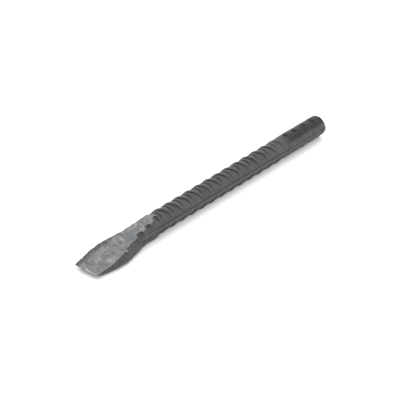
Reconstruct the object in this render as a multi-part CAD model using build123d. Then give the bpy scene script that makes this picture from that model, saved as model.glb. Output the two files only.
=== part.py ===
from build123d import *
import os
from math import cos, radians, tan

# Cold chisel forged from a length of ribbed reinforcing bar, in millimetres, +Z up.
# The tool lies on the plane z = 0 with its origin under the middle of its length.
# +X runs from the cutting edge to the struck head.
# The real tool is one piece of steel. The blade, the shank and the head are three zones
# of that one bar: they meet face to face, and each has a node so that it has its own finish.

# Whole tool
TOOL_LENGTH = 300.0
HEAD_LENGTH = 53.0

# Rolled bar
CORE_DIAMETER = 17.6
RIB_HEIGHT = 1.2
RIB_PITCH = 6.22
RIB_TOP_WIDTH = 1.5
RIB_FLANK_WIDTH = 0.7
RIB_TILTS = (12.0, 29.7)
RIB_OFFSET = 1.6
SEAM_WIDTH = 2.0
SEAM_HEIGHT = 1.1
BAR_ROLL = 1.0
REST_CLEARANCE = 0.05

# Forged and ground blade
EDGE_WIDTH = 25.0
EDGE_LAND = 0.4
FLARE_WIDTH = 28.8
FLARE_REACH = 20.0
HEEL_WIDTH = 26.4
HEEL_REACH = 34.0
THROAT_SPREAD = 2.9
THROAT_REACH = 50.0
NECK_LENGTH = 7.3
NECK_BLEND_DEPTH = 1.0
TIP_CORNER = 4.0
HEEL_CORNER = 4.5
THROAT_CORNER = 6.0
BLANK_OVERRUN = 4.0
UNDERSIDE_ALLOWANCE = 1.0
GRIND_ANGLE = 11.3
GRIND_ALLOWANCE = 5.2
UNDER_BEVEL_LENGTH = 19.0

# Struck head, upset a little thicker than the bar
HEAD_DIAMETER = 18.8
WORN_RIB_HEIGHT = 0.3
HEAD_CHAMFER = 1.0

# Worked out from the sizes above
CORE_RADIUS = CORE_DIAMETER / 2
HEAD_RADIUS = HEAD_DIAMETER / 2
CROWN_RADIUS = CORE_RADIUS + RIB_HEIGHT
AXIS_HEIGHT = CROWN_RADIUS + REST_CLEARANCE
EDGE_HEIGHT = UNDER_BEVEL_LENGTH * tan(radians(GRIND_ANGLE))
BLADE_LENGTH = (AXIS_HEIGHT + CROWN_RADIUS - EDGE_HEIGHT) / tan(radians(GRIND_ANGLE))
NECK_REACH = BLADE_LENGTH - NECK_LENGTH
THROAT_WIDTH = CORE_DIAMETER + THROAT_SPREAD
SHANK_END = TOOL_LENGTH - HEAD_LENGTH


def along(reach):
    """X of a place that lies this far from the cutting edge."""
    return reach - TOOL_LENGTH / 2


def ground_height(reach):
    """Height of the ground top face over the plane that the tool lies on."""
    return EDGE_HEIGHT + reach * tan(radians(GRIND_ANGLE))


def on_bar(shape):
    """Place a shape made about the X axis on the bar, turned as the bar lies."""
    return Pos(0, 0, AXIS_HEIGHT) * Rot(-BAR_ROLL, 0, 0) * shape


def bar_core(start, end, radius):
    """The round core of the bar between two distances from the edge."""
    # The quarter turn brings the cylinder's own seam line under a seam rib.
    rod = Rot(90, 0, 0) * Rot(0, 90, 0) * Cylinder(radius, end - start)
    return on_bar(Pos(along((start + end) / 2), 0, 0) * rod)


def seam_ribs(start, end):
    """The two ribs that run along the bar, one on each side."""
    height = CORE_RADIUS + SEAM_HEIGHT
    bar = Box(end - start, 2 * height, SEAM_WIDTH)
    bar = Pos(along((start + end) / 2), 0, 0) * bar
    return on_bar(bar)


def cross_rib(reach, tilt, core_radius, height, side):
    """One crescent rib: a thin slanted disc, set off-centre so that it fades out at the sides."""
    radius = core_radius + height - RIB_OFFSET
    slant = Plane(origin=(0, 0, 0), x_dir=(0, 1, 0), z_dir=(1, 0, 0))
    outline = slant * Ellipse(radius / cos(radians(tilt)), radius)
    disc = extrude(outline, RIB_TOP_WIDTH / 2 + RIB_FLANK_WIDTH, both=True)
    disc = chamfer(disc.edges().filter_by(GeomType.ELLIPSE), RIB_FLANK_WIDTH, height)
    disc = Pos(along(reach), 0, side * RIB_OFFSET) * Rot(0, 0, tilt) * disc
    return on_bar(disc)


def rib_row(start, end, core_radius, height, side):
    """Ribs of one row, at an even pitch and slanted by turns."""
    first = start + RIB_PITCH / 2
    shift = RIB_PITCH / 2 if side < 0 else 0.0
    count = int((end - first - shift - RIB_PITCH / 2) // RIB_PITCH) + 1
    ribs = []
    for index in range(count):
        tilt = RIB_TILTS[index % len(RIB_TILTS)]
        reach = first + shift + index * RIB_PITCH
        ribs.append(cross_rib(reach, tilt, core_radius, height, side))
    return ribs


def ribbed_bar(start, end, core_radius, height):
    """A stretch of bar with its seam ribs and both rows of cross ribs."""
    upper_ribs = rib_row(start, end, core_radius, height, 1)
    lower_ribs = rib_row(start, end, core_radius, height, -1)
    slot = Box(end - start, 4 * CROWN_RADIUS, 4 * CROWN_RADIUS)
    slot = Pos(along((start + end) / 2), 0, AXIS_HEIGHT) * slot
    core = bar_core(start, end, core_radius)
    return core.fuse(seam_ribs(start, end), *upper_ribs, *lower_ribs) & slot


def blank_section(reach, width, low, high, corner):
    """One section of the forged blank: a rectangle with round corners."""
    place = Plane(origin=(along(reach), 0, (low + high) / 2), x_dir=(0, 1, 0), z_dir=(1, 0, 0))
    return place * RectangleRounded(width, high - low, corner)


def forged_blank():
    """The hammered-out end of the bar, a little oversize all round until it is ground."""
    overrun_width = EDGE_WIDTH - (FLARE_WIDTH - EDGE_WIDTH) * BLANK_OVERRUN / FLARE_REACH
    stations = [
        (-BLANK_OVERRUN, overrun_width, TIP_CORNER),
        (FLARE_REACH, FLARE_WIDTH, TIP_CORNER),
        (HEEL_REACH, HEEL_WIDTH, HEEL_CORNER),
        (THROAT_REACH, THROAT_WIDTH, THROAT_CORNER),
    ]
    sections = []
    for reach, width, corner in stations:
        high = ground_height(reach) + GRIND_ALLOWANCE * (1 - reach / NECK_REACH)
        sections.append(blank_section(reach, width, -UNDERSIDE_ALLOWANCE, high, corner))
    low = AXIS_HEIGHT - CORE_RADIUS + NECK_BLEND_DEPTH
    neck = CORE_DIAMETER - 2 * NECK_BLEND_DEPTH
    sections.append(blank_section(NECK_REACH, neck, low, low + neck, HEEL_CORNER))
    return loft(sections)


def grinding_wedge():
    """The space that the ground top face and the under bevel leave."""
    half_width = FLARE_WIDTH + CORE_DIAMETER
    points = [
        (along(0), EDGE_HEIGHT - EDGE_LAND / 2),
        (along(UNDER_BEVEL_LENGTH), 0),
        (along(BLADE_LENGTH), 0),
        (along(BLADE_LENGTH), ground_height(BLADE_LENGTH) + EDGE_LAND / 2),
        (along(0), EDGE_HEIGHT + EDGE_LAND / 2),
    ]
    side_view = Plane.XZ * Polygon(*points, align=None)
    return extrude(side_view, half_width, both=True)


def blade():
    """The wedge-shaped cutting end, back to where its ground face leaves the bar."""
    bar = bar_core(HEEL_REACH, BLADE_LENGTH, CORE_RADIUS)
    return forged_blank().fuse(bar, seam_ribs(HEEL_REACH, BLADE_LENGTH)) & grinding_wedge()


def shank():
    """The ribbed stretch that the hand holds."""
    return ribbed_bar(BLADE_LENGTH, SHANK_END, CORE_RADIUS, RIB_HEIGHT)


def head():
    """The struck end, with its ribs beaten down and its rim chamfered."""
    envelope = Rot(0, 90, 0) * Cylinder(CROWN_RADIUS, HEAD_LENGTH)
    rim = envelope.edges().filter_by(GeomType.CIRCLE).sort_by(Axis.X)[-1]
    envelope = chamfer(rim, HEAD_CHAMFER + CROWN_RADIUS - HEAD_RADIUS)
    envelope = Pos(along(SHANK_END + HEAD_LENGTH / 2), 0, AXIS_HEIGHT) * envelope
    return ribbed_bar(SHANK_END, TOOL_LENGTH, HEAD_RADIUS, WORN_RIB_HEIGHT) & envelope


os.makedirs("parts", exist_ok=True)
for name, make in (("blade", blade), ("shank", shank), ("head", head)):
    export_step(make(), f"parts/{name}.step")
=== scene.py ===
import bpy
import bmesh
import math
from mathutils import Matrix, Vector


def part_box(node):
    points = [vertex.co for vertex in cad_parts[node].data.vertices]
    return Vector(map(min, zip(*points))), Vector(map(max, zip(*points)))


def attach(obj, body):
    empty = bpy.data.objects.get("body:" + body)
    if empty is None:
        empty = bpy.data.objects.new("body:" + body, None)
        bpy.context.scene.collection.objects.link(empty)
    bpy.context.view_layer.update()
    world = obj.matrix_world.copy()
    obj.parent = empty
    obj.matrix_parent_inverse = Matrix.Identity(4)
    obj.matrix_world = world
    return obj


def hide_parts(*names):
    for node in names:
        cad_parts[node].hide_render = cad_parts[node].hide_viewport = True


# A cold chisel forged from a length of ribbed reinforcing bar. The bar is modelled in
# millimetres, as one skin. It is cut into the three zones that the frame names, the ground
# blade, the ribbed shank and the struck head, and each zone is then brought to metres.

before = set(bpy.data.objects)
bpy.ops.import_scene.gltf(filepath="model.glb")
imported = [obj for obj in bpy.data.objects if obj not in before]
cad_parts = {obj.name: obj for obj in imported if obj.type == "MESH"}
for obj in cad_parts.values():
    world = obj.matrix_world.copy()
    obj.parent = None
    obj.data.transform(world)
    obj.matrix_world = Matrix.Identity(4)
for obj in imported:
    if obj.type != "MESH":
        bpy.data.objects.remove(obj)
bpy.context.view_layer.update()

MM = 0.001
BLADE_LOW, BLADE_HIGH = (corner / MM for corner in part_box("blade"))
SHANK_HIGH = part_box("shank")[1] / MM
HEAD_LOW, HEAD_HIGH = (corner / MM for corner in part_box("head"))

# Places along the bar, from the frame
EDGE_X = BLADE_LOW.x
BLADE_END_X = BLADE_HIGH.x
SHANK_END_X = SHANK_HIGH.x
HEAD_X = HEAD_HIGH.x
AXIS_Z = (HEAD_LOW.z + HEAD_HIGH.z) / 2

# Rolled bar, in millimetres and degrees. Its core and seam ribs start inside the forged end.
CORE_RADIUS = 9.0
CORE_START = 40.0
ROUND_SIDES = 96
SEAM_WIDTH = 1.9
SEAM_HEIGHT = 1.1
SEAM_BEVEL = 0.5
SEAM_OVERLAP = 3.0
BAR_ROLL = 1.0

# Cross ribs are of two kinds by turns, each with its slant, its shift along the bar and its
# height. The upper and the lower row differ in how far their discs are set off the bar's axis,
# and in the share of those heights that they reach.
RIB_PITCH = 6.22
FIRST_RIB = 72.3
RIB_BASE = 2.5
RIB_FLANK = 0.55
RIB_KINDS = ((12.0, 0.0, 0.95), (29.7, -0.93, 1.25))
UPPER_OFFSET = 2.2
UPPER_SHARE = 1.12
LOWER_OFFSET = 1.2
LOWER_SHARE = 1.1

# Head: the bar swells to it over the upset length, and its ribs and seam are beaten down
HEAD_RADIUS = 9.85
HEAD_LIFT = 0.3
UPSET_FROM = 230.0
UPSET_LENGTH = 20.0
UPSET_INSET = 0.15
HEAD_CHAMFER = 1.2
WORN_SHARE = 0.15
WORN_SEAM_HEIGHT = 0.65

# Ground faces
GRIND_SLOPE = math.radians(11.3)
EDGE_HEIGHT = 3.8

# Dressed edge: it is cut off askew through its +Y corner, at this reach and y, and its upper
# corner is broken by a cut that faces this way
EDGE_SKEW = math.radians(3.9)
EDGE_CORNER = (0.3, 13.3)
NOSE_REACH = 1.25
NOSE_DEPTH = 0.08
NOSE_FACING = (-0.72, -0.075, 0.69)

# Grinding blocks: name, slope, length, middle along the slope, depth of the block, how far the
# ground face wanders and how deep its grain is
GRINDING_BLOCKS = (
    ("top_block", -GRIND_SLOPE, 110, 45, 30, 0.22, 0.08),
    ("under_block", GRIND_SLOPE, 50, 10, -20, 0.15, 0.06),
)
BLOCK_WIDTH = 44
BLOCK_PITCH = 0.5

# Sections of the forged end: reach from the edge, how far it spreads to the +Y and to the
# -Y side, underside, top, and how far the upper edge of the -Y side is beaten in
STATIONS = (
    (-4.0, 12.8, 11.8, -1.0, 9.0, 0.5),
    (6.0, 13.6, 12.1, -0.6, 10.5, 0.8),
    (14.0, 14.4, 13.4, -0.2, 11.6, 0.9),
    (22.0, 14.6, 14.9, 0.0, 12.7, 2.6),
    (30.0, 14.2, 16.0, 0.2, 13.8, 4.2),
    (38.0, 12.2, 15.1, 0.2, 15.0, 4.8),
    (46.0, 9.8, 13.2, 0.2, 16.2, 4.9),
    (54.0, 8.1, 10.8, 0.3, 17.2, 3.9),
    (62.0, 7.5, 8.6, 0.4, 18.2, 1.9),
    (72.0, 7.3, 9.1, 0.5, 18.6, 1.4),
    (82.0, 7.4, 9.1, 0.6, 18.4, 0.8),
)
FORGED_CORNER = 4.2
SKIN_VOXEL = 0.41

# What is left of the cross ribs on the forged shoulder, and the hollows between them:
# reach, y, height against the ground plane, and half sizes along, across and up
SHOULDER_KNOBS = (
    (35.6, -11.0, -1.2, 1.5, 2.9, 2.0),
    (48.0, -7.4, -1.2, 1.4, 2.4, 2.0),
    (61.2, -4.9, -1.0, 1.4, 2.2, 1.8),
)
SHOULDER_HOLLOWS = (
    (43.6, -12.2, 0.2, 3.6, 4.2, 1.9),
    (56.4, -8.2, 0.3, 3.9, 4.2, 2.2),
    (67.0, -7.2, 0.4, 3.4, 3.6, 2.0),
    (77.4, -4.2, 0.6, 2.8, 4.2, 1.6),
)

# Hammer dents along the top of the head: reach, and turn from straight up
HEAD_DENTS = ((252.2, 4.0), (264.4, -5.0), (277.0, -2.0), (289.0, -1.0))
DENT_STANDOFF = 0.6
DENT_HALF_SIZES = (1.5, 3.4, 1.3)

# A chip out of the struck rim: reach, y and z of its middle, and its half sizes
RIM_CHIP = (297.0, -7.4, 2.2)
CHIP_HALF_SIZES = (7.5, 3.0, 3.0)

# Hammer marks are whole up to the first reach of the forged end's two and gone at the second.
# They start again between the two reaches at the head.
FORGED_FADE = (60, 84)
BEATEN_FADE = (243, 256)

# Marks of the finish, each a place in millimetres
CHIPPED_RIM = (HEAD_X - 1.5, -8.0, AXIS_Z - 5.0)
BLUED_HOLLOW = (EDGE_X + 54, -9, 13)
TEMPER_SPOT = (EDGE_X + 51, -2, 14)
TORN_PATCH = (EDGE_X + 64, -1, 16)

# Smears of the grinding wheel: their slant in degrees, and how they are drawn out along it
SMEAR_TURN = 62.0
SMEAR_STRETCH = (2.4, 1, 1)

# ---- working by hand: selecting, shaping and finishing ----

def select_only(*pieces):
    for other in bpy.context.selected_objects:
        other.select_set(False)
    for piece in pieces:
        piece.select_set(True)
    bpy.context.view_layer.objects.active = pieces[0]


def newest(name):
    piece = bpy.context.active_object
    piece.name = name
    return piece


def edit(piece):
    """Open a piece for editing with nothing selected."""
    select_only(piece)
    bpy.ops.object.mode_set(mode="EDIT")
    bpy.ops.mesh.select_mode(type="VERT")
    bpy.ops.mesh.select_all(action="DESELECT")


def close_edit():
    bpy.ops.object.mode_set(mode="OBJECT")


def pick(test, kind="verts"):
    """Select the vertices, edges or faces of the piece being edited that pass a test."""
    mode = {"verts": "VERT", "edges": "EDGE", "faces": "FACE"}[kind]
    bpy.ops.mesh.select_all(action="DESELECT")
    bpy.ops.mesh.select_mode(type=mode)
    shape = bmesh.from_edit_mesh(bpy.context.edit_object.data)
    for element in getattr(shape, kind):
        element.select_set(bool(test(element)))
    shape.select_flush_mode()
    bmesh.update_edit_mesh(bpy.context.edit_object.data)


def finish_with(piece, kind, **settings):
    """Add one modifier and apply it."""
    select_only(piece)
    modifier = piece.modifiers.new(kind.title(), kind)
    for key, value in settings.items():
        setattr(modifier, key, value)
    bpy.ops.object.modifier_apply(modifier=modifier.name)


def settle(piece):
    """Put a piece's place, turn and size into its mesh."""
    select_only(piece)
    bpy.ops.object.transform_apply(location=True, rotation=True, scale=True)


def copy_of(piece, name):
    twin = piece.copy()
    twin.data = piece.data.copy()
    twin.name = name
    bpy.context.collection.objects.link(twin)
    return twin


def join(pieces, name):
    select_only(*pieces)
    bpy.ops.object.join()
    return newest(name)


def cloud(name, size):
    texture = bpy.data.textures.new(name, "CLOUDS")
    texture.noise_scale = size
    texture.noise_depth = 2
    return texture


# ---- the rolled bar ----

def rod(start, end, radius, name):
    bpy.ops.mesh.primitive_cylinder_add(
        vertices=ROUND_SIDES, radius=radius, depth=end - start,
        location=((start + end) / 2, 0, AXIS_Z), rotation=(0, math.pi / 2, 0))
    piece = newest(name)
    settle(piece)
    return piece


def rib_blank(tilt, crown, offset, name):
    """One crescent rib: a slanted disc, off-centre so that it fades out at the bar's sides."""
    bpy.ops.mesh.primitive_cylinder_add(
        vertices=ROUND_SIDES, radius=crown - offset, depth=RIB_BASE, rotation=(0, math.pi / 2, 0))
    piece = newest(name)
    settle(piece)
    edit(piece)
    pick(lambda edge: edge.calc_face_angle(0) > 1.0, "edges")
    bpy.ops.mesh.bevel(offset=RIB_FLANK, offset_type="OFFSET", segments=2)
    bpy.ops.mesh.select_all(action="SELECT")
    bpy.ops.transform.resize(value=(1, 1 / math.cos(math.radians(tilt)), 1), center_override=(0, 0, 0))
    close_edit()
    piece.rotation_euler = (0, 0, math.radians(tilt))
    settle(piece)
    return piece


def rib_row(start, end, radius, share, offset, name):
    """A row of ribs at an even pitch, slanted by turns, on the side that they are offset to."""
    blanks = []
    for tilt, _, height in RIB_KINDS:
        blanks.append(rib_blank(tilt, radius + share * height, abs(offset), f"{name}_blank"))
    ribs = []
    for index in range(int((end - start) // RIB_PITCH) + 1):
        turn = index % len(blanks)
        rib = copy_of(blanks[turn], f"{name}_{index}")
        reach = start + index * RIB_PITCH + RIB_KINDS[turn][1]
        rib.location = (EDGE_X + reach, 0, offset)
        settle(rib)
        ribs.append(rib)
    for blank in blanks:
        bpy.data.objects.remove(blank)
    return ribs


def seam_rib(start, end, radius, height, name):
    """The two ribs along the bar, as one flat strip that passes through its middle."""
    bpy.ops.mesh.primitive_cube_add(size=1, location=((start + end) / 2, 0, 0))
    piece = newest(name)
    piece.scale = (end - start, 2 * (radius + height), SEAM_WIDTH)
    settle(piece)
    finish_with(piece, "BEVEL", width=SEAM_BEVEL, segments=2)
    return piece


def roll(pieces):
    """Turn the ribs about the bar's axis as the bar lies, and lift them to it."""
    lift = Matrix.Translation((0, 0, AXIS_Z))
    turn = Matrix.Rotation(math.radians(-BAR_ROLL), 4, "X")
    for piece in pieces:
        piece.matrix_world = lift @ turn
        settle(piece)


# ---- the forged end ----

def forged_end():
    """A bar of rounded-off square section, drawn out and spread station by station."""
    first, last = STATIONS[0], STATIONS[-1]
    length = last[0] - first[0]
    width, height = 20.0, 16.0
    bpy.ops.mesh.primitive_cube_add(size=1)
    piece = newest("forged_end")
    piece.scale = (length, width, height)
    piece.location = (EDGE_X + (first[0] + last[0]) / 2, 0, 0)
    settle(piece)
    edit(piece)
    pick(lambda e: abs(e.verts[0].co.x - e.verts[1].co.x) > length / 2, "edges")
    bpy.ops.mesh.bevel(offset=FORGED_CORNER, offset_type="OFFSET", segments=4)
    for reach, *_ in STATIONS[1:-1]:
        bpy.ops.mesh.select_all(action="SELECT")
        bpy.ops.mesh.bisect(plane_co=(EDGE_X + reach, 0, 0), plane_no=(1, 0, 0), threshold=1e-5)
    for reach, far, near, low, high, lean in STATIONS:
        x = EDGE_X + reach
        middle = ((far - near) / 2, (high + low) / 2)
        pick(lambda v: abs(v.co.x - x) < 0.01)
        bpy.ops.transform.resize(
            value=(1, (far + near) / width, (high - low) / height), center_override=(x, 0, 0))
        bpy.ops.transform.translate(value=(0, *middle))
        pick(lambda v: abs(v.co.x - x) < 0.01 and v.co.y < middle[0] and v.co.z > middle[1])
        bpy.ops.transform.translate(value=(0, lean, 0))
    close_edit()
    finish_with(piece, "SUBSURF", levels=3, render_levels=3)
    return piece


def ground_height(reach):
    return EDGE_HEIGHT + reach * math.tan(GRIND_SLOPE)


def lump(reach, y, z, sizes, turn, name):
    """A ball pulled to its three half sizes, lying slanted as the ribs do."""
    bpy.ops.mesh.primitive_uv_sphere_add(segments=24, ring_count=12, radius=1)
    piece = newest(name)
    piece.scale = sizes
    piece.rotation_euler = (0, 0, math.radians(turn))
    piece.location = (EDGE_X + reach, y, z)
    settle(piece)
    return piece


def shoulder_lumps(table, name):
    lumps = []
    for reach, y, lift, *sizes in table:
        lumps.append(lump(reach, y, ground_height(reach) + lift, sizes, RIB_KINDS[1][0], name))
    return lumps


def upset_head():
    """The head's core: it swells from the bar's size, then runs even to its broken rim."""
    start = EDGE_X + UPSET_FROM
    piece = rod(start + UPSET_LENGTH, HEAD_X, HEAD_RADIUS, "head")
    piece.location.z = HEAD_LIFT
    settle(piece)
    edit(piece)
    pick(lambda f: f.normal.x < -0.9, "faces")
    bpy.ops.mesh.extrude_region_move(TRANSFORM_OT_translate={"value": (-UPSET_LENGTH, 0, 0)})
    slimmer = (CORE_RADIUS - UPSET_INSET) / HEAD_RADIUS
    bpy.ops.transform.resize(value=(1, slimmer, slimmer), center_override=(start, 0, AXIS_Z))
    close_edit()
    finish_with(piece, "BEVEL", width=HEAD_CHAMFER, segments=2, limit_method="ANGLE")
    return piece


def head_dents():
    """Balls that sink the dents into the top of the head and take the chip out of its rim."""
    dents = []
    for reach, turn in HEAD_DENTS:
        angle = math.radians(turn)
        outer = HEAD_RADIUS + DENT_STANDOFF
        place = (reach, outer * math.sin(angle), AXIS_Z + outer * math.cos(angle))
        dents.append(lump(*place, DENT_HALF_SIZES, RIB_KINDS[1][0], "head_dent"))
    dents.append(lump(*RIM_CHIP, CHIP_HALF_SIZES, 0, "rim_chip"))
    return dents


def skin_of(pieces, hollows):
    """Melt the pieces into one closed skin with the soft corners of hot-rolled steel."""
    skin = join(pieces, "chisel_skin")
    finish_with(skin, "REMESH", mode="VOXEL", voxel_size=SKIN_VOXEL)
    take_away(skin, join(hollows, "hollows"))
    finish_with(skin, "SMOOTH", factor=0.5, iterations=1)
    return skin


def take_away(skin, block):
    finish_with(skin, "BOOLEAN", operation="DIFFERENCE", object=block, solver="MANIFOLD")
    bpy.data.objects.remove(block)


# ---- grinding ----

def grinding_block(name, length, depth, wander, grain):
    """A block whose underside is as uneven as the face that it grinds."""
    bpy.ops.mesh.primitive_grid_add(
        x_subdivisions=int(length / BLOCK_PITCH), y_subdivisions=int(BLOCK_WIDTH / BLOCK_PITCH), size=1)
    piece = newest(name)
    piece.scale = (length, BLOCK_WIDTH, 1)
    settle(piece)
    finish_with(piece, "DISPLACE", texture=wander[0], strength=wander[1], mid_level=0.5)
    finish_with(piece, "DISPLACE", texture=grain[0], strength=grain[1], mid_level=0.5)
    edit(piece)
    bpy.ops.mesh.select_all(action="SELECT")
    bpy.ops.mesh.extrude_region_move(TRANSFORM_OT_translate={"value": (0, 0, depth)})
    bpy.ops.mesh.select_all(action="SELECT")
    bpy.ops.mesh.normals_make_consistent(inside=False)
    close_edit()
    return piece


def grind(skin):
    """Grind the long top face and the short bevel under the edge, then dress the edge."""
    coarse = cloud("grind_wander", 6.0)
    fine = cloud("grind_grain", 1.2)
    edge = Vector((EDGE_X, 0, EDGE_HEIGHT))
    for name, slope, length, middle, depth, wander, grain in GRINDING_BLOCKS:
        block = grinding_block(name, length, depth, (coarse, wander), (fine, grain))
        block.rotation_euler = (0, slope, 0)
        block.location = edge + Matrix.Rotation(slope, 3, "Y") @ Vector((middle, 0, 0))
        settle(block)
        take_away(skin, block)
    dress_edge(skin)


def dress_edge(skin):
    """Cut the edge off a little askew, and break its upper corner on the -Y side."""
    square = Vector((-math.cos(EDGE_SKEW), -math.sin(EDGE_SKEW), 0))
    reach, y = EDGE_CORNER
    cut_flat(skin, (EDGE_X + reach, y, 0), square)
    nose = Vector((EDGE_X + NOSE_REACH, 0, ground_height(NOSE_REACH)))
    cut_flat(skin, nose + Vector((NOSE_DEPTH, 0, 0)), Vector(NOSE_FACING))


def cut_flat(skin, place, normal):
    """Cut the skin straight across and close the cut."""
    edit(skin)
    bpy.ops.mesh.select_all(action="SELECT")
    bpy.ops.mesh.bisect(plane_co=place, plane_no=normal, use_fill=True, clear_outer=True, threshold=1e-5)
    close_edit()


def zone(skin, name, start, end):
    """The stretch of the skin that stands for one CAD node."""
    piece = copy_of(skin, name)
    if start is not None:
        cut_flat(piece, (start, 0, 0), (-1, 0, 0))
    if end is not None:
        cut_flat(piece, (end, 0, 0), (1, 0, 0))
    piece.scale = (MM, MM, MM)
    settle(piece)
    select_only(piece)
    bpy.ops.object.shade_smooth_by_angle(angle=math.radians(40))
    return piece


# ---- materials ----

def linear(hex_colour):
    """An sRGB hex colour as the linear colour that a shader takes."""
    channels = [int(hex_colour[i:i + 2], 16) / 255 for i in (0, 2, 4)]
    return [c / 12.92 if c <= 0.04045 else ((c + 0.055) / 1.055) ** 2.4 for c in channels] + [1.0]


def node(tree, kind, *inputs, **settings):
    """Add a node with its settings, and fill its inputs in their order: each with a number,
    a place, a hex colour, another node or its output, or None to leave it as it is."""
    made = tree.nodes.new(kind)
    for key, value in settings.items():
        setattr(made, key, value)
    for socket, value in zip([socket for socket in made.inputs if socket.enabled], inputs):
        if isinstance(value, bpy.types.Node):
            value = next(output for output in value.outputs if output.enabled)
        if isinstance(value, bpy.types.NodeSocket):
            tree.links.new(value, socket)
        elif value is not None:
            socket.default_value = linear(value) if isinstance(value, str) else value
    return made


SMOOTH = {"interpolation_type": "SMOOTHSTEP"}
COLOUR = {"data_type": "RGBA"}


def patchy(tree, place, size, low, high):
    """Cloudy patches about this many millimetres across, from none at one level to whole at another."""
    cloudy = node(tree, "ShaderNodeTexNoise", place, 1 / (size * MM), 3.0, 0.55)
    return node(tree, "ShaderNodeMapRange", cloudy, low, high, **SMOOTH)


def spot(tree, place, centre, full, none):
    """A soft round spot, whole within one distance of its centre and gone past another."""
    gap = node(tree, "ShaderNodeVectorMath", place, Vector(centre) * MM, operation="DISTANCE")
    return node(tree, "ShaderNodeMapRange", gap, full * MM, none * MM, 1.0, 0.0, **SMOOTH)


def mill_scale(tree, place, axes):
    """Grey-black scale from rolling and forging: slightly mottled, painted shade in the roots of the ribs and
    in the head's dents, crests paler from wear and painted highlight, and beaten darker on top of the head."""
    wear = node(tree, "ShaderNodeAttribute", attribute_name="wear").outputs["Fac"]
    # Painted shade: hollows at the rib roots and seams are painted near black, at three tenths on the forged
    # end
    hollow = node(tree, "ShaderNodeMapRange", wear, 0.49, 0.32, **SMOOTH)
    root_shade_span = (EDGE_X + 66) * MM, (EDGE_X + 78) * MM
    root_shade_strength = node(tree, "ShaderNodeMapRange", axes.outputs["X"], *root_shade_span, 0.3, 1.0, **SMOOTH)
    hollow = node(tree, "ShaderNodeMath", hollow, root_shade_strength, operation="MULTIPLY")
    # Painted highlight with rubbed wear: where the skin stands proud, on the crests, the scale is painted
    # paler
    crest_highlight_and_rub = node(tree, "ShaderNodeMapRange", wear, 0.55, 0.85, **SMOOTH)
    scale = node(tree, "ShaderNodeMix", patchy(tree, place, 5.0, 0.35, 0.65), "3a3a3a", "454545", **COLOUR)
    scale = node(tree, "ShaderNodeMix", hollow, scale, "171717", **COLOUR)
    scale = node(tree, "ShaderNodeMix", crest_highlight_and_rub, scale, "525252", **COLOUR)

    head_start = SHANK_END_X * MM
    beaten_over = head_start - 4 * MM, head_start + 9 * MM
    beaten = node(tree, "ShaderNodeMapRange", axes.outputs["X"], *beaten_over, **SMOOTH)
    low, high = (AXIS_Z + 5.0) * MM, (AXIS_Z + 8.0) * MM
    upward = node(tree, "ShaderNodeMapRange", axes.outputs["Z"], low, high, 0.0, 0.9, **SMOOTH)
    sideward = node(tree, "ShaderNodeMapRange", axes.outputs["Y"], -2 * MM, 4 * MM, 1.0, 0.3, **SMOOTH)
    blackened = node(tree, "ShaderNodeMath", beaten, upward, operation="MULTIPLY")
    blackened = node(tree, "ShaderNodeMath", blackened, sideward, operation="MULTIPLY")
    scale = node(tree, "ShaderNodeMix", blackened, scale, "19191a", **COLOUR)
    # Painted shade: the scale is painted near black, unevenly, over each hammer dent on the head
    uneven = patchy(tree, place, 3.5, 0.64, 0.40)
    for reach, turn in HEAD_DENTS:
        angle = math.radians(turn)
        centre = (EDGE_X + reach, HEAD_RADIUS * math.sin(angle), AXIS_Z + HEAD_RADIUS * math.cos(angle))
        dent_shade = node(tree, "ShaderNodeMath", spot(tree, place, centre, 1.5, 7.0), uneven, operation="MULTIPLY")
        scale = node(tree, "ShaderNodeMix", dent_shade, scale, "0c0d0e", **COLOUR)
    chip = spot(tree, place, CHIPPED_RIM, 0.8, 1.8)
    scale = node(tree, "ShaderNodeMix", chip, scale, "a4a5a4", **COLOUR)
    blued = spot(tree, place, BLUED_HOLLOW, 1.5, 5.0)
    return node(tree, "ShaderNodeMix", blued, scale, "3a3d42", **COLOUR)


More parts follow.
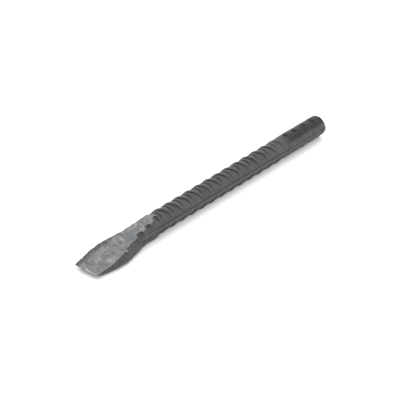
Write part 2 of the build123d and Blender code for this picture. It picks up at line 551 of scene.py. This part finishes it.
def ground_metal(tree, place, axes, nose):
    """Bare metal from a coarse wheel: pale, softly smeared slantwise, with a bluish temper film where
    the grinding ran out, a darker rough strip on its +Y side and painted highlight on the dressed edge."""
    # The real scratches are about 0.1 mm apart. They are drawn as smears of 3 mm, to show.
    slant = (0, 0, math.radians(SMEAR_TURN))
    swept = node(tree, "ShaderNodeMapping", place, None, slant, SMEAR_STRETCH, vector_type="TEXTURE")
    metal = node(tree, "ShaderNodeMix", patchy(tree, place, 6.0, 0.3, 0.7), "565756", "686968", **COLOUR)
    metal = node(tree, "ShaderNodeMix", patchy(tree, swept, 3.0, 0.52, 0.75), metal, "797a79", **COLOUR)
    metal = node(tree, "ShaderNodeMix", patchy(tree, swept, 3.0, 0.44, 0.28), metal, "484948", **COLOUR)
    metal = node(tree, "ShaderNodeMix", patchy(tree, place, 1.2, 0.62, 0.80), metal, "a6a7a5", **COLOUR)

    film = spot(tree, place, TEMPER_SPOT, 2.0, 9.0)
    film = node(tree, "ShaderNodeMath", film, patchy(tree, place, 4.0, 0.2, 0.6), operation="MULTIPLY")
    film = node(tree, "ShaderNodeMath", film, 0.7, operation="MULTIPLY")
    metal = node(tree, "ShaderNodeMix", film, metal, "53575d", **COLOUR)

    strip = node(tree, "ShaderNodeMapRange", axes.outputs["Y"], 7.5 * MM, 11.5 * MM, 0.0, 0.85, **SMOOTH)
    rough = node(tree, "ShaderNodeMath", strip, patchy(tree, place, 1.3, 0.66, 0.48), operation="MULTIPLY")
    metal = node(tree, "ShaderNodeMix", rough, metal, "2c2d2d", **COLOUR)

    torn = spot(tree, place, TORN_PATCH, 3.0, 8.0)
    pale = node(tree, "ShaderNodeMath", torn, patchy(tree, place, 1.3, 0.56, 0.66), operation="MULTIPLY")
    dark = node(tree, "ShaderNodeMath", torn, patchy(tree, place, 1.8, 0.48, 0.34), operation="MULTIPLY")
    metal = node(tree, "ShaderNodeMix", pale, metal, "979896", **COLOUR)
    metal = node(tree, "ShaderNodeMix", dark, metal, "2a2b2c", **COLOUR)

    # Painted highlight: the dressed edge is painted bright on its -Y half
    near_half = node(tree, "ShaderNodeMapRange", axes.outputs["Y"], 3 * MM, 1 * MM, **SMOOTH)
    edge_highlight = node(tree, "ShaderNodeMath", nose, near_half, operation="MULTIPLY")
    return node(tree, "ShaderNodeMix", edge_highlight, metal, "8a8b89", **COLOUR)


def chisel_steel():
    """Medium-carbon steel, as rolled and forged where it is round and dull, and bare metal,
    lighter and brighter, where the wheel has cut through the scale."""
    material = bpy.data.materials.new("carbon_steel_forged_and_ground")
    material.use_nodes = True
    tree = material.node_tree
    shader = tree.nodes["Principled BSDF"]
    place = node(tree, "ShaderNodeTexCoord").outputs["Object"]
    axes = node(tree, "ShaderNodeSeparateXYZ", place)

    # How high a point lies against the plane of the ground face, made ragged so that the
    # border of the bare metal wanders
    normal = Vector((-math.sin(GRIND_SLOPE), 0, math.cos(GRIND_SLOPE)))
    level = normal.dot(Vector((EDGE_X, 0, EDGE_HEIGHT)) * MM)
    height = node(tree, "ShaderNodeVectorMath", place, normal, operation="DOT_PRODUCT")
    ragged = node(tree, "ShaderNodeMath", patchy(tree, place, 1.6, 0.0, 1.0), 0.25 * MM, operation="MULTIPLY")
    height = node(tree, "ShaderNodeMath", ragged, height, operation="ADD")
    face = node(tree, "ShaderNodeMapRange", height, level - 0.26 * MM, level - 0.12 * MM, **SMOOTH)
    reach = (EDGE_X + 2.4) * MM, (EDGE_X + 2.9) * MM
    nose = node(tree, "ShaderNodeMapRange", axes.outputs["X"], *reach, 1.0, 0.0, **SMOOTH)
    bare = node(tree, "ShaderNodeMath", face, nose, operation="MAXIMUM")

    metal = ground_metal(tree, place, axes, nose)
    # Painted shade: below the ground face, under the edge, the bare tip is painted dark grey
    under = node(tree, "ShaderNodeMapRange", height, level - 1.2 * MM, level - 0.7 * MM, 1.0, 0.0, **SMOOTH)
    metal = node(tree, "ShaderNodeMix", under, metal, "3a3a3a", **COLOUR)
    colour = node(tree, "ShaderNodeMix", bare, mill_scale(tree, place, axes), metal, **COLOUR)
    metallic = node(tree, "ShaderNodeMath", bare, 0.75, operation="MULTIPLY")
    roughness = node(tree, "ShaderNodeMapRange", bare, 0.0, 1.0, 0.55, 0.42)
    grit = node(tree, "ShaderNodeTexNoise", place, 1 / (1.1 * MM), 2.0)
    bump = node(tree, "ShaderNodeBump")
    bump.inputs["Strength"].default_value = 0.4
    bump.inputs["Distance"].default_value = 0.10 * MM
    tree.links.new(grit.outputs["Fac"], bump.inputs["Height"])
    tree.links.new(colour.outputs[2], shader.inputs["Base Color"])
    tree.links.new(metallic.outputs[0], shader.inputs["Metallic"])
    tree.links.new(roughness.outputs[0], shader.inputs["Roughness"])
    tree.links.new(bump.outputs["Normal"], shader.inputs["Normal"])
    # Scale is dull: where the steel is not bare it reflects little
    shader.inputs["Specular IOR Level"].default_value = 0.22
    return material


# ---- making the chisel ----

def weigh(skin, name, share):
    """A vertex group whose weight is a share worked out from each vertex's reach."""
    group = skin.vertex_groups.new(name=name)
    steps = 20
    shelves = [[] for _ in range(steps + 1)]
    for vertex in skin.data.vertices:
        shelves[round(share(vertex.co.x - EDGE_X) * steps)].append(vertex.index)
    for step, members in enumerate(shelves):
        if step and members:
            group.add(members, step / steps, "REPLACE")
    return name


def ramp(value, start, end):
    return min(1.0, max(0.0, (value - start) / (end - start)))


def beat(skin):
    """Hammer marks on the forged end and the head, and the fine grain of rolled scale all over."""
    forged = weigh(skin, "forged", lambda reach: 1 - ramp(reach, *FORGED_FADE))
    beaten = weigh(skin, "beaten", lambda reach: ramp(reach, *BEATEN_FADE))
    everywhere = ""
    marks = (
        ("hammer", 4.5, 1.6, forged),
        ("chips", 1.6, 0.55, forged),
        ("blows", 5.0, 0.9, beaten),
        ("grain", 1.4, 0.22, everywhere),
    )
    for name, size, depth, where in marks:
        texture = cloud(name, size)
        finish_with(skin, "DISPLACE", texture=texture, strength=depth, mid_level=0.5, vertex_group=where)


def map_cavities_for_shade(skin):
    """Record hollows and crests of the skin, for painted shade in the hollows and painted highlight on
    crests.
    """
    select_only(skin)
    skin.data.color_attributes.new("wear", "FLOAT_COLOR", "CORNER")
    skin.data.color_attributes.active_color_name = "wear"
    for value in skin.data.color_attributes["wear"].data:
        value.color = (1, 1, 1, 1)
    bpy.ops.paint.vertex_color_dirt(
        blur_strength=1.0, blur_iterations=1, normalize=False,
        clean_angle=math.radians(105), dirt_angle=math.radians(75))


def chisel_skin():
    beaten_from = SHANK_END_X - EDGE_X
    length = HEAD_X - EDGE_X
    ribs = [
        seam_rib(EDGE_X + CORE_START, SHANK_END_X, CORE_RADIUS, SEAM_HEIGHT, "seam"),
        seam_rib(
            SHANK_END_X - SEAM_OVERLAP, HEAD_X - HEAD_CHAMFER, HEAD_RADIUS, WORN_SEAM_HEIGHT, "worn_seam"),
    ]
    rows = (
        (FIRST_RIB, UPPER_OFFSET, UPPER_SHARE),
        (FIRST_RIB + RIB_PITCH / 2, -LOWER_OFFSET, LOWER_SHARE),
    )
    for first, offset, share in rows:
        whole = int((beaten_from - first) // (2 * RIB_PITCH)) * 2
        worn_from = first + whole * RIB_PITCH
        ribs += rib_row(first, worn_from - RIB_PITCH / 2, CORE_RADIUS, share, offset, "rib")
        ribs += rib_row(worn_from, length - RIB_PITCH, HEAD_RADIUS, WORN_SHARE, offset, "worn_rib")
    roll(ribs)
    core = rod(EDGE_X + CORE_START, SHANK_END_X, CORE_RADIUS, "core")
    head = upset_head()
    knobs = shoulder_lumps(SHOULDER_KNOBS, "knob")
    hollows = shoulder_lumps(SHOULDER_HOLLOWS, "hollow") + head_dents()
    skin = skin_of([forged_end(), core, head] + ribs + knobs, hollows)
    beat(skin)
    grind(skin)
    map_cavities_for_shade(skin)
    return skin


skin = chisel_skin()
steel = chisel_steel()
skin.data.materials.clear()
skin.data.materials.append(steel)
zones = (
    ("ground_blade", "blade", None, BLADE_END_X),
    ("ribbed_shank", "shank", BLADE_END_X, SHANK_END_X),
    ("struck_head", "head", SHANK_END_X, None),
)
for name, cad_node, start, end in zones:
    piece = zone(skin, name, start, end)
    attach(piece, "root")
    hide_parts(cad_node)
bpy.data.objects.remove(skin)


# ---- floor, light and camera ----

def floor():
    bpy.ops.mesh.primitive_plane_add(size=8)
    piece = newest("floor")
    material = bpy.data.materials.new("white_paper")
    material.use_nodes = True
    shader = material.node_tree.nodes["Principled BSDF"]
    shader.inputs["Base Color"].default_value = linear("f4f4f4")
    shader.inputs["Roughness"].default_value = 0.9
    shader.inputs["Specular IOR Level"].default_value = 0.0
    piece.data.materials.append(material)


# Soft boxes, all turned to the origin: place and size in metres, power in watts
SOFT_BOXES = (
    ("key", (1.1, 0.45, 1.3), (1.5, 1.5), 11),
    ("rim", (0.4, 1.5, 0.75), (0.8, 0.8), 11),
    ("fill", (0.9, -1.4, 0.8), (1.2, 1.2), 10),
)


def soft_box(name, place, size, power):
    light = bpy.data.lights.new(name, "AREA")
    light.shape = "RECTANGLE"
    light.size, light.size_y = size
    light.energy = power
    lamp = bpy.data.objects.new(name, light)
    bpy.context.scene.collection.objects.link(lamp)
    lamp.location = place
    lamp.rotation_euler = (-Vector(place)).to_track_quat("-Z", "Y").to_euler()


# Camera: its distance in metres, its lens in millimetres, and how far to the left of the
# bar's middle and how far below it the camera aims, in metres
VIEW_AZIMUTH = math.radians(-47.25)
VIEW_ELEVATION = math.radians(34.0)
VIEW_DISTANCE = 1.2327
VIEW_LENS = 127.0
AIM_LEFT = 0.00872
AIM_BELOW = 0.00875


def camera():
    """Look down at the tool from beside its cutting edge."""
    right = Vector((math.cos(VIEW_AZIMUTH), math.sin(VIEW_AZIMUTH), 0))
    level = Vector((-math.sin(VIEW_AZIMUTH), math.cos(VIEW_AZIMUTH), 0))
    ahead = level * math.cos(VIEW_ELEVATION) - Vector((0, 0, math.sin(VIEW_ELEVATION)))
    above = level * math.sin(VIEW_ELEVATION) + Vector((0, 0, math.cos(VIEW_ELEVATION)))
    aim = Vector((0, 0, AXIS_Z * MM)) - AIM_LEFT * right - AIM_BELOW * above
    lens = bpy.data.cameras.new("camera")
    lens.lens = VIEW_LENS
    eye = bpy.data.objects.new("camera", lens)
    bpy.context.scene.collection.objects.link(eye)
    turn = Matrix((right, above, -ahead)).transposed().to_4x4()
    eye.matrix_world = Matrix.Translation(aim - VIEW_DISTANCE * ahead) @ turn
    bpy.context.scene.camera = eye


floor()
camera()
world = bpy.data.worlds.new("studio")
bpy.context.scene.world = world
world.use_nodes = True
world.node_tree.nodes["Background"].inputs["Color"].default_value = (1, 1, 1, 1)
world.node_tree.nodes["Background"].inputs["Strength"].default_value = 1.35
for name, place, size, power in SOFT_BOXES:
    soft_box(name, place, size, power)
bpy.context.scene.view_settings.view_transform = "Standard"
